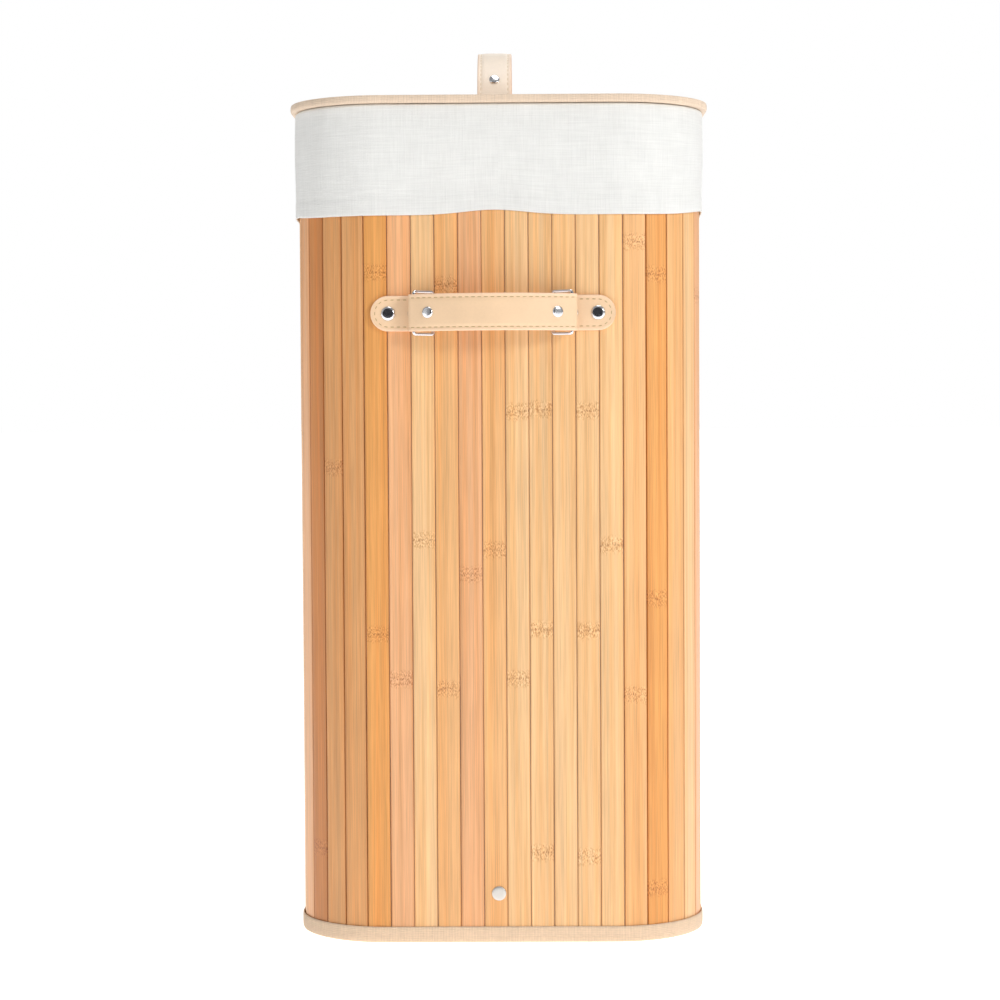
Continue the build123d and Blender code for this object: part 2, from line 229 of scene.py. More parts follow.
class Look:
    """A Principled material and short calls for the nodes that feed it."""

    def __init__(self, name, **sockets):
        self.material = bpy.data.materials.new(name)
        self.material.use_nodes = True
        self.nodes = self.material.node_tree.nodes
        self.shader = self.nodes["Principled BSDF"]
        for key, value in sockets.items():
            self.shader.inputs[key.replace("_", " ").title().replace("Ior", "IOR")].default_value = value

    def feed(self, socket, value):
        if isinstance(value, bpy.types.NodeSocket):
            self.material.node_tree.links.new(value, socket)
        else:
            socket.default_value = value

    def node(self, kind, inputs, output=0, **settings):
        made = self.nodes.new("ShaderNode" + kind)
        for key, value in settings.items():
            setattr(made, key, value)
        for key, value in inputs.items():
            self.feed(made.inputs[key], value)
        return made.outputs[output]

    def math(self, operation, a, b=0.0):
        return self.node("Math", {0: a, 1: b}, operation=operation)

    def plus(self, a, b):
        return self.math("ADD", a, b)

    def times(self, a, b):
        return self.math("MULTIPLY", a, b)

    def remap(self, value, low, high, out_low=0.0, out_high=1.0):
        inputs = {"Value": value, "From Min": low, "From Max": high, "To Min": out_low, "To Max": out_high}
        return self.node("MapRange", inputs, interpolation_type="SMOOTHSTEP")

    def mix(self, factor, a, b):
        colours = [(*c, 1) if isinstance(c, tuple) else c for c in (a, b)]
        return self.node("Mix", {0: factor, 6: colours[0], 7: colours[1]}, 2, data_type="RGBA")

    def scaled(self, colour, factor):
        return self.node("VectorMath", {0: colour, "Scale": factor}, operation="SCALE")

    def tinted(self, colour, tint):
        return self.node("VectorMath", {0: colour, 1: tint}, operation="MULTIPLY")

    def attribute(self, name, output):
        return self.node("Attribute", {}, output, attribute_name=name)

    def axes(self, vector):
        made = self.nodes.new("ShaderNodeSeparateXYZ")
        self.feed(made.inputs[0], vector)
        return made.outputs

    def surface(self, flat):
        """The surface's own coordinates: the flat attribute, or the frame's for a CAD node."""
        if flat:
            return self.axes(self.attribute("flat", "Vector"))
        return self.axes(self.node("TexCoord", {}, "Object"))

    def noise(self, x, y, z=0.0, detail=2.0):
        vector = self.node("CombineXYZ", {0: x, 1: y, 2: z})
        return self.node("TexNoise", {"Vector": vector, "Scale": 1.0, "Detail": detail})

    def grain(self, u, v, width, length, shift=0.0, detail=2.0):
        """Noise with spots of width by length."""
        return self.noise(self.math("DIVIDE", u, width), self.math("DIVIDE", v, length), shift, detail)

    def lightness(self, *parts):
        """1 plus each (noise, strength) about its middle."""
        total = 1.0
        for noise, strength in parts:
            total = self.plus(total, self.times(self.math("SUBTRACT", noise, 0.5), strength))
        return total

    def bump(self, height, distance):
        normal = self.node("Bump", {"Strength": 1.0, "Distance": distance, "Height": height})
        self.feed(self.shader.inputs["Normal"], normal)

    def finish(self, colour, roughness=None):
        self.feed(self.shader.inputs["Base Color"], colour)
        if roughness is not None:
            self.feed(self.shader.inputs["Roughness"], roughness)
        return self.material


def bamboo_look():
    """Planed bamboo: fibres along the slat, mottled node bands, painted shade along the edges where the slats
    meet, and a thin clear finish.
    """
    look = Look("bamboo", roughness=0.42, coat_weight=0.12, coat_roughness=0.3)
    across, height, _ = look.surface(True)
    seed = look.attribute("seed", "Fac")
    tone = look.attribute("tone", "Vector")
    fine = look.grain(across, height, 0.00038, 0.038, seed, 3)
    streak = look.grain(across, height, 0.0016, 0.22, look.plus(seed, 11.3))
    broad = look.grain(across, height, 0.0065, 0.7, look.plus(seed, 23.7))
    cloud = look.grain(across, height, 0.02, 0.08, look.plus(seed, 31.1))
    warm = look.grain(across, height, 0.004, 0.35, look.plus(seed, 47.9))
    colour = look.mix(look.remap(warm, 0.38, 0.68), tone, look.tinted(tone, (1.0, 0.90, 0.76)))
    colour = look.scaled(colour, look.lightness((fine, 0.66), (streak, 0.42), (broad, 0.34), (cloud, 0.18)))
    wobble = look.times(look.math("SUBTRACT", look.grain(across, height, 0.0028, 1, seed), 0.5), 0.006)
    away = None
    for mark in look.axes(look.attribute("marks", "Vector")):
        gap = look.math("ABSOLUTE", look.plus(look.math("SUBTRACT", height, mark), wobble))
        away = gap if away is None else look.math("MINIMUM", away, gap)
    inside = look.remap(away, 0.0078, 0.0036)
    dashes = look.grain(across, height, 0.0005, 0.0016, look.plus(seed, 5.5), 2)
    dark = look.times(inside, look.remap(dashes, 0.50, 0.40, 0, 0.95))
    light = look.times(inside, look.remap(dashes, 0.52, 0.62, 0, 0.95))
    colour = look.mix(dark, colour, look.tinted(colour, (0.70, 0.54, 0.40)))
    colour = look.mix(light, colour, look.tinted(colour, (1.14, 1.22, 1.32)))
    ring = look.times(look.remap(away, 0.0011, 0.0003), look.remap(dashes, 0.62, 0.38, 0, 0.7))
    colour = look.mix(ring, colour, look.tinted(colour, (0.66, 0.52, 0.40)))
    # painted shade: each slat's edges are darkened for the shade in the joints between slats
    edge = look.remap(look.math("ABSOLUTE", across), 0.0070, 0.0082, 0, 1)
    colour = look.mix(look.times(edge, 0.55), colour, look.tinted(colour, (0.66, 0.50, 0.36)))
    look.bump(look.plus(fine, look.times(streak, 0.6)), 0.00009)
    return look.finish(colour, look.remap(broad, 0.3, 0.7, 0.36, 0.50))


def cloth_look(name, colour, thread, contrast, flat=True, sheen=0.25):
    """Plain-woven cloth: threads both ways, slubs and heathered streaks."""
    look = Look(name, roughness=0.9, sheen_weight=sheen, sheen_roughness=0.5, specular_ior_level=0.2)
    u, v, w = look.surface(flat)
    if not flat:
        v = look.plus(v, w)
    down = look.grain(u, v, thread, thread * 26, 3.1, 3)
    along = look.grain(u, v, thread * 30, thread, 9.7, 3)
    slub_down = look.grain(u, v, thread * 1.6, thread * 60, 15.1)
    slub_along = look.grain(u, v, thread * 70, thread * 1.6, 21.9)
    patch = look.grain(u, v, 0.012, 0.012, 27.3, 3)
    threads = look.lightness(*[(part, contrast) for part in (down, along, slub_down, slub_along)])
    base = look.scaled(colour, look.times(threads, look.lightness((patch, contrast * 0.7))))
    weave_u = look.math("SINE", look.times(u, 2 * pi / thread))
    weave_v = look.math("SINE", look.times(v, 2 * pi / thread))
    height = look.plus(look.times(weave_u, weave_v), look.times(down, 3.0))
    look.bump(look.plus(height, look.times(along, 3.0)), thread * 0.12)
    return look.finish(base)


def tape_look(name, colour):
    """Woven binding tape: fine cross threads over its ribs."""
    look = Look(name, roughness=0.75, sheen_weight=0.2, sheen_roughness=0.4, specular_ior_level=0.3)
    u, v, _ = look.surface(True)
    threads = look.grain(u, v, 0.004, 0.0007, 4.2, 2)
    cross = look.grain(u, v, 0.0009, 0.008, 8.8, 2)
    patch = look.grain(u, v, 0.03, 0.012, 12.5, 3)
    rib = look.math("SINE", look.times(u, 2 * pi / tape_rib))
    line = look.math("SINE", look.times(v, 2 * pi / 0.0013))
    value = look.lightness((threads, 0.22), (cross, 0.25), (patch, 0.14))
    ribs = look.plus(rib, look.times(line, 0.4))
    value = look.plus(value, look.times(ribs, 0.07))
    look.bump(look.plus(look.times(line, 0.5), look.times(threads, 1.5)), 0.00012)
    return look.finish(look.scaled(colour, value))


def leather_look(name, face, cut):
    """Smooth leather: fine pores, soft mottling, and cut edges of their own colour."""
    look = Look(name, roughness=0.42, specular_ior_level=0.5, coat_weight=0.08, coat_roughness=0.35)
    u, v, _ = look.surface(True)
    mottle = look.grain(u, v, 0.018, 0.018, 2.2, 4)
    fine = look.grain(u, v, 0.0016, 0.0016, 6.1, 3)
    colour = look.scaled(face, look.lightness((mottle, 0.16), (fine, 0.07)))
    edge = look.attribute("edge", "Fac")
    colour = look.mix(edge, colour, cut)
    vector = look.node("CombineXYZ", {0: u, 1: v})
    pores = look.node("TexVoronoi", {"Vector": vector, "Scale": 1500.0}, feature="DISTANCE_TO_EDGE")
    look.bump(look.plus(look.remap(pores, 0.0, 0.12), look.times(fine, 0.8)), 0.00003)
    return look.finish(colour, look.remap(mottle, 0.3, 0.7, 0.38, 0.48))


def metal_look(name, colour, roughness):
    """Plated steel with fine scratches."""
    look = Look(name, metallic=1.0, roughness=roughness)
    u, v, w = look.surface(False)
    smear = look.noise(*[look.math("DIVIDE", axis, 0.0022) for axis in (u, v, w)], 3)
    sizes = ((u, 0.0004), (v, 0.004), (w, 0.0009))
    scratch = look.noise(*[look.math("DIVIDE", axis, size) for axis, size in sizes])
    look.bump(scratch, 0.000012)
    shade = look.scaled(colour, look.lightness((smear, 0.12)))
    return look.finish(shade, look.remap(smear, 0.3, 0.7, roughness * 0.8, roughness * 1.4))


def thread_look(name, colour):
    """Waxed sewing thread."""
    look = Look(name, roughness=0.65)
    u, v, _ = look.surface(True)
    twist = look.grain(u, v, 0.0004, 0.0009, 1.7)
    return look.finish(look.scaled(colour, look.lightness((twist, 0.35))))


def board_look():
    """Pressed fibre board."""
    look = Look("board", roughness=0.8)
    u, v, _ = look.surface(False)
    fibre = look.grain(u, v, 0.0009, 0.0016, 1.1, 4)
    cloud = look.grain(u, v, 0.03, 0.03, 5.1, 3)
    look.bump(fibre, 0.0001)
    return look.finish(look.scaled(srgb(176, 134, 92), look.lightness((fibre, 0.5), (cloud, 0.15))))


LOOKS = {
    "bamboo": bamboo_look(),
    "cotton": cloth_look("cotton", srgb(234, 234, 231), 0.00055, 0.13),
    "lining": cloth_look("lining", srgb(226, 214, 196), 0.0007, 0.16, flat=False),
    "lid_tape": tape_look("lid_tape_weave", srgb(222, 200, 177)),
    "base_tape": tape_look("base_tape_weave", srgb(226, 200, 172)),
    "rim_tape": cloth_look("rim_tape_weave", srgb(226, 201, 170), 0.0011, 0.2, flat=False),
    "leather": leather_look("leather", srgb(236, 202, 164), srgb(250, 214, 184)),
    # a paler copy of the leather for the lid's handle: painted light, for the strong light from above
    "pale_leather": leather_look("pale_leather", srgb(247, 232, 214), srgb(246, 214, 186)),
    "chrome": metal_look("chrome", srgb(225, 226, 230), 0.12),
    "satin": metal_look("satin_nickel", srgb(214, 212, 208), 0.38),
    "wire": metal_look("wire_steel", srgb(190, 190, 192), 0.3),
    "thread": thread_look("thread_khaki", srgb(184, 156, 112)),
    # a paler copy of the thread for the lid's handle: painted light, for the strong light from above
    "pale_thread": thread_look("thread_painted_light", srgb(228, 208, 178)),
    "white_thread": thread_look("thread_white", srgb(226, 226, 222)),
    "board": board_look(),
}


# ---- bamboo ----
TONES = {
    "pale": srgb(236, 196, 150),
    "straw": srgb(234, 190, 138),
    "honey": srgb(230, 176, 118),
    "amber": srgb(222, 156, 84),
    "rose": srgb(228, 172, 124),
    "tan": srgb(214, 156, 98),
    "brown": srgb(198, 130, 68),
}
# how often each tone comes among the other slats
COMMON = {"pale": 5, "straw": 8, "honey": 6, "amber": 3, "rose": 4, "tan": 2}
# the slats that face front, from the left-hand corner to the right-hand one
FRONT_TONES = (
    "rose brown tan tan amber rose straw honey rose honey "
    "straw straw straw straw straw honey amber honey straw"
).split()
# node bands on those slats: the slat, counted from the middle one, and the height in millimetres
FRONT_MARKS = (
    (-8, 64), (-7, 338), (-5, 220), (-5, 476), (-4, 188), (-3, 287), (-2, 181), (-2, 467), (-1, 262),
    (0, 280), (1, 188), (1, 377), (2, 64), (2, 223), (2, 379), (4, 61), (4, 222), (4, 378), (5, 283),
    (6, 176), (6, 497), (7, 37), (7, 244), (7, 474),
)  # fmt: skip


def strips_of(*nodes):
    """Each separate strip of CAD slat nodes, as its (n, 3) points."""
    found = []
    for node in nodes:
        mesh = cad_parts[node].data
        points = np.array([v.co for v in mesh.vertices])
        keys = [tuple(p) for p in np.round(points, 6)]
        owner = {key: key for key in keys}

        def root(key):
            while owner[key] != key:
                owner[key] = owner[owner[key]]
                key = owner[key]
            return key

        for edge in mesh.edges:
            owner[root(keys[edge.vertices[0]])] = root(keys[edge.vertices[1]])
        groups = {}
        for key, point in zip(keys, points):
            groups.setdefault(root(key), []).append(point)
        found += [(node, np.array(group)) for group in groups.values()]
    return found


def slat_section(half, thickness):
    """A slat's cross-section: a flat back, rounded front edges and a slight crown. (across, depth)"""
    radius, crown = 0.00042, 0.00008
    section = [(-half, -thickness), (half, -thickness), (half, -radius - crown)]
    for turn in (0.35, 0.7):
        angle = turn * pi / 2
        section.append((half - radius * (1 - cos(angle)), -radius * (1 - sin(angle)) - crown))
    for share in np.linspace(1, -1, 7):
        section.append(((half - radius) * share, -crown * share**2))
    for turn in (0.7, 0.35):
        angle = turn * pi / 2
        section.append((radius * (1 - cos(angle)) - half, -radius * (1 - sin(angle)) - crown))
    section.append((-half, -radius - crown))
    return np.array(section)


def wall_slats():
    """Every upright slat, in order round the wall, the middle front one first, as (index, node, spot ...)."""
    spots = []
    for node, points in strips_of(*[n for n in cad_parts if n.startswith("slats_")]):
        foot = points[points[:, 2] < points[:, 2].min() + 1e-5][:, :2]
        centre = (foot.min(0) + foot.max(0)) / 2
        tangent = np.linalg.svd(foot - foot.mean(0))[2][0]
        normal = np.array([tangent[1], -tangent[0]])
        if normal @ centre < 0:
            normal, tangent = -normal, -tangent
        across, depth = foot @ tangent, foot @ normal
        origin = tangent * (across.max() + across.min()) / 2 + normal * depth.max()
        around_angle = atan2(centre[0], -centre[1])
        size = (np.ptp(across) / 2, np.ptp(depth), points[:, 2].min(), points[:, 2].max())
        spots.append((around_angle, node, origin, tangent, normal, *size))
    spots.sort(key=lambda spot: spot[0])
    handle_x = (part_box("base_rivets")[0].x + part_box("base_rivets")[1].x) / 2
    front = [n for n, spot in enumerate(spots) if spot[1] == "slats_front"]
    middle = min(front, key=lambda n: abs(spots[n][2][0] - handle_x))
    return [(n - middle, *spot[1:]) for n, spot in enumerate(spots)]


def wall_bamboo():
    """The wall's slats, one object for each stretch of wall."""
    groups = {}
    for index, node, origin, tangent, normal, half, thickness, bottom, top in wall_slats():
        tone = rng.choices(list(COMMON), list(COMMON.values()))[0]
        shade = rng.uniform(0.93, 1.05)
        marks = [bottom + (top - bottom) * rng.uniform(0.03, 0.85) for _ in range(3)]
        marks = [m if rng.random() < 0.36 else -1.0 for m in marks]
        if abs(index) <= 9:
            tone, shade = FRONT_TONES[index + 9], 1.0
            marks = [z * 0.001 for k, z in FRONT_MARKS if k == index]
            marks = (marks + [-1.0] * 3)[:3]
        twist, sink, seed = rng.uniform(-0.007, 0.007), rng.uniform(0, 0.00014), rng.uniform(0, 90)
        section = slat_section(half, thickness - 0.0002)
        heights = np.linspace(bottom, top, 26)
        phase, lean = rng.uniform(0, 6.28), rng.uniform(14, 30)
        wander = 0.00005 * np.sin(heights * lean + phase)
        grid = np.zeros((len(heights), len(section), 3))
        across = section[:, 0] + wander[:, None]
        sway = 0.00004 * np.sin(heights * 23 + seed)[:, None]
        depth = section[:, 1] - sink + section[:, 0] * twist + sway - 0.00004
        grid[..., :2] = origin + across[..., None] * tangent + depth[..., None] * normal
        grid[..., 2] = heights[:, None]
        values = {"tone": np.array(TONES[tone]) * shade, "seed": seed, "marks": marks}
        edge = np.append(section[:, 0], section[0, 0])
        groups.setdefault(node, Piece()).grid(grid, heights, edge, wrap_v=True, caps=True, **values)
    for node, piece in groups.items():
        swap_flat(piece)
        name = node.replace("slats", "bamboo")
        piece.build(name, LOOKS["bamboo"], "hamper", [node], "bamboo", sharp=50)


def swap_flat(piece):
    """Makes flat hold (across, along) instead of (along, across)."""
    piece.flats = [flat[:, ::-1] for flat in piece.flats]


def lid_bamboo():
    """The lid's slats: strips across the lid, cut to its outline."""
    piece = Piece()
    low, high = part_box("lid_slats")
    radius = corner_radius + high.x - half_width
    centre_y = high.y - radius
    for _, points in sorted(strips_of("lid_slats"), key=lambda strip: strip[1][:, 1].mean()):
        front, back = points[:, 1].min(), points[:, 1].max()
        section = slat_section((back - front) / 2, high.z - low.z - 0.0001)
        y = (front + back) / 2 + section[:, 0]
        beyond = np.clip(np.abs(y) - centre_y, 0, radius)
        reach = high.x - radius + np.sqrt(radius**2 - beyond**2)
        share = np.linspace(-1, 1, 24)
        grid = np.zeros((len(share), len(section), 3))
        grid[..., 0] = share[:, None] * reach
        grid[..., 1] = y
        grid[..., 2] = high.z + section[:, 1] - rng.uniform(0, 0.0001)
        tone = np.array(TONES[rng.choices(list(COMMON), list(COMMON.values()))[0]]) * rng.uniform(0.95, 1.05)
        marks = [rng.uniform(-0.14, 0.14) if rng.random() < 0.3 else -1.0 for _ in range(3)]
        edge = np.append(section[:, 0], section[0, 0])
        values = {"tone": tone, "seed": rng.uniform(0, 90), "marks": marks}
        piece.grid(grid, share * high.x, edge, wrap_v=True, caps=True, **values)
    swap_flat(piece)
    piece.build("lid_bamboo", LOOKS["bamboo"], "lid", ["lid_slats"], "bamboo", sharp=50)


# ---- edge tapes ----
def ribbed_band(name, nodes, profile, rib, body, look):
    """A closed profile of (offset, height, rib share) carried round the outline, with ribs across it."""
    profile = np.array(profile)
    columns = 2 * round(girth / tape_rib)
    ridge = np.where(np.arange(columns) % 2, 1.0, -1.0)[:, None] * profile[:, 2] * rib
    centre = profile[:, :2].mean(0)
    outward = profile[:, :2] - centre
    outward /= np.maximum(np.linalg.norm(outward, axis=1), 1e-6)[:, None]
    offsets = profile[:, 0] + ridge * np.where(np.abs(outward[:, 0]) > 0.5, np.sign(outward[:, 0]), 0)
    heights = profile[:, 1] + ridge * np.where(np.abs(outward[:, 0]) > 0.5, 0, np.sign(outward[:, 1]))
    grid, distances = band(columns, offsets, heights)
    steps = np.linalg.norm(np.diff(np.vstack([profile, profile[:1]])[:, :2], axis=0), axis=1)
    along = np.concatenate([[0], np.cumsum(steps)])
    piece = Piece()
    piece.grid(grid, distances, along, wrap_u=True, wrap_v=True)
    return piece.build(name, LOOKS[look], body, nodes, "binding_tape")


def lid_tape():
    low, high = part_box("lid_tape")
    out = high.x - half_width
    inner, middle, height = out - 0.010, (low.z + high.z) / 2, (high.z - low.z) / 2
    core = out - 0.0006
    profile = [(inner, low.z + 0.0001, 0.3), (inner + 0.004, low.z, 0.3)]
    for angle in np.linspace(-80, 80, 9):
        turn = radians(angle)
        profile.append((out - 0.0014 + 0.0013 * cos(turn) ** 0.6, middle + height * sin(turn), 1))
    profile += [(inner + 0.004, high.z, 0.3), (inner, high.z - 0.0001, 0.3)]
    profile += [(inner, high.z - 0.0006, 0), (core, high.z - 0.0007, 0), (core, low.z + 0.0007, 0)]
    profile += [(inner, low.z + 0.0006, 0)]
    return ribbed_band("lid_tape_weave", ["lid_tape"], profile, 0.00011, "lid", "lid_tape")


def base_tape():
    low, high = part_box("base_tape")
    out = high.x - half_width
    top = high.z
    profile = [(0.0001, top, 0), (0.0005, top, 0.5), (out - 0.0001, top - 0.0006, 1), (out, top - 0.0025, 1)]
    profile += [(out, top * 0.55, 1), (out, 0.0032, 1), (out - 0.0002, 0.0014, 1), (out - 0.0006, 0.0004, 1)]
    profile += [(-0.0006, 0, 0), (-0.0178, 0, 0), (-0.018, 0.0009, 0), (0, 0.00098, 0), (0.0001, 0.004, 0)]
    nodes = ["base_tape", "base_tape_flange"]
    return ribbed_band("base_tape_weave", nodes, profile, 0.00008, "hamper", "base_tape")


# ---- the cotton liner ----
# where the skirt's hem is lifted: distance from the front's middle, spread, lift
HEM_LIFTS = (
    (-0.003, 0.030, 0.0036), (0.176, 0.040, 0.0056), (-0.172, 0.026, 0.0022), (0.37, 0.05, 0.0016),
    (0.48, 0.05, 0.003), (0.62, 0.05, 0.0028), (0.78, 0.05, 0.003), (0.90, 0.04, 0.0012),
)  # fmt: skip


def hem_lift(distance):
    """How far the hem stands above its lowest line."""
    total = np.zeros_like(distance)
    for middle, spread, lift in HEM_LIFTS:
        gap = (distance - middle + girth / 2) % girth - girth / 2
        total = total + lift * np.exp(-((gap / spread) ** 2))
    return total


def liner_skirt():
    """The skirt: sewn to the bag, folded over the rim and hanging outside it, with a turned hem."""
    low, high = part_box("liner_skirt")
    columns, drops = 500, 44
    inner, outer = -0.0100, high.x - half_width - cloth / 2
    top, fold = high.z - cloth / 2, 0.0022
    over = outer - fold - inner
    turn = pi / 2 * fold
    fall = top - fold - low.z
    along = np.concatenate([np.linspace(0, over, 5), over + turn * np.array([0.25, 0.5, 0.75])])
    along = np.concatenate([along, over + turn + fall * np.linspace(0, 1, drops)])
    distances = np.linspace(0, girth, columns + 1)[:-1][:, None]
    angle = np.clip((along - over) / fold, 0, pi / 2)
    drop = np.clip(along - over - turn, 0, None)
    share = drop / fall
    lift = hem_lift(distances)
    heights = top - fold * (1 - np.cos(angle)) - drop + lift * share
    offsets = np.minimum(along, over) + inner + fold * np.sin(angle)
    slack = ripple((3, 5, 7, 11), 8, 5)(distances, drop)
    folds = ripple((14, 19, 23, 31), 30, 6)(distances, drop)
    crinkle = ripple((57, 71, 83, 97), 160, 7)(distances, drop)
    bulge = 0.0005 * slack * share**0.7 + 0.0004 * folds * share + 0.00014 * crinkle * np.minimum(share * 6, 1)
    settle = 0.0003 * smoothstep(share * 3)
    hem = drop > fall - 0.0125
    groove = np.exp(-(((drop - (fall - 0.0118)) / 0.0009) ** 2))
    tuck = (outer - 0.0006) * smoothstep(share * 1.6 - 0.6)  # draws the hem in to the slats
    offsets = offsets + settle - tuck + np.maximum(bulge, -0.0006) + hem * 0.00035 - groove * 0.00045
    grid, distances = band(columns, offsets, heights)
    piece = Piece()
    piece.grid(grid, distances, along, wrap_u=True)
    made = piece.build("liner_cuff", LOOKS["cotton"], None, ["liner_skirt"], "cotton")
    thickened(made, cloth * 0.9)
    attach(made, "hamper")
    line = drop.searchsorted(fall - 0.0118)
    seam = closed(grid[:, line])
    sew("liner_cuff_stitches", [seam], 0.0034, 0.0022, 0.00022, "white_thread", "hamper", outline_normals)
    return made


def outline_normals(points):
    """Outward normals, level, for points near the wall."""
    x = np.clip(points[:, 0], -flat_x, flat_x)
    y = np.clip(points[:, 1], -flat_y, flat_y)
    away = np.stack([points[:, 0] - x, points[:, 1] - y, np.zeros(len(points))], axis=1)
    return away / np.linalg.norm(away, axis=1)[:, None]


def closed(points):
    return np.vstack([points, points[:1]])


def liner_bag():
    """The bag: loose cotton that hangs inside the wall in soft upright folds."""
    low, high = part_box("liner_bag")
    columns, rows = 300, 90
    heights = np.linspace(low.z + 0.0006, high.z, rows)
    distances = np.linspace(0, girth, columns + 1)[:-1][:, None]
    hang = (high.z - heights) / (high.z - low.z)
    free = smoothstep(hang * 5) * smoothstep((1 - hang) * 8)
    folds = ripple((9, 13, 17, 22, 27), 6, 8)(distances, heights)
    drape = ripple((3, 4, 6), 3, 9)(distances, heights)
    crinkle = ripple((37, 49, 61), 60, 10)(distances, heights)
    inward = 0.0032 * (folds + 0.6) + 0.0022 * (drape + 0.6) + 0.0004 * crinkle
    offsets = high.x - half_width - cloth / 2 - np.maximum(inward, 0) * free
    grid, distances = band(columns, offsets, np.broadcast_to(heights, (columns, rows)))
    piece = Piece()
    piece.grid(grid, distances, heights, wrap_u=True)
    made = piece.build("liner_bag_cloth", LOOKS["cotton"], None, ["liner_bag"], "cotton")
    thickened(made, cloth * 0.9)
    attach(made, "hamper")
    return made


def liner_bottom():
    """The bag's bottom: cotton lying on the base lining, a little wrinkled."""
    low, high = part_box("liner_bottom")
    columns, rings = 220, 40
    inset = half_width - high.x
    middle = (low.z + high.z) / 2
    share = np.linspace(0.02, 1, rings)
    grid, distances = band(columns, np.full((columns, rings), -inset), middle)
    grid[..., :2] *= share[None, :, None]
    x, y = grid[..., 0], grid[..., 1]
    dice = random.Random(12)
    wrinkle = np.zeros_like(x)
    for _ in range(14):
        heading, length, phase = dice.uniform(0, pi), dice.uniform(0.03, 0.12), dice.uniform(0, 6.28)
        wrinkle += np.sin((x * cos(heading) + y * sin(heading)) * 2 * pi / length + phase)
    grid[..., 2] += np.maximum(wrinkle, 0) * 0.0006 * smoothstep((1 - share) * 8)
    piece = Piece()
    piece.grid(grid, distances, share * half_width, wrap_u=True)
    made = piece.build("liner_bottom_cloth", LOOKS["cotton"], None, ["liner_bottom"], "cotton")
    thickened(made, cloth * 0.9)
    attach(made, "hamper")
    width, length = 2 * high.x, 2 * high.y
    return made


# ---- sewing ----
def sew(name, lines, pitch, length, radius, look, body, normals):
    """Stitches along open lines of points: short rounded threads that lie half sunk in the surface."""
    piece = Piece()
    turns = np.linspace(0, 2 * pi, 7)[:-1]
    rings = ((-0.5, 0.25), (-0.42, 0.8), (0, 1), (0.42, 0.8), (0.5, 0.25))
    for line in lines:
        steps = np.linalg.norm(np.diff(line, axis=0), axis=1)
        distance = np.concatenate([[0], np.cumsum(steps)])
        count = max(1, round(distance[-1] / pitch))
        spots = (np.arange(count) + 0.5) * distance[-1] / count
        ends = []
        for way in (-1, 1):
            along = spots + way * length / 2
            ends.append(np.stack([np.interp(along, distance, line[:, k]) for k in range(3)], axis=1))
        middles = (ends[0] + ends[1]) / 2
        for middle, tangent, up in zip(middles, ends[1] - ends[0], normals(middles)):
            size = np.linalg.norm(tangent)
            tangent = tangent / size
            side = np.cross(tangent, up)
            grid = np.array([
                [middle + tangent * t * size + (side * cos(a) + up * sin(a)) * radius * r for a in turns]
                for t, r in rings
            ])
            u = np.array([t * size for t, _ in rings])
            piece.grid(grid, u, np.linspace(0, 2 * pi * radius, 7), wrap_v=True, caps=True)
    return piece.build(name, LOOKS[look], body)


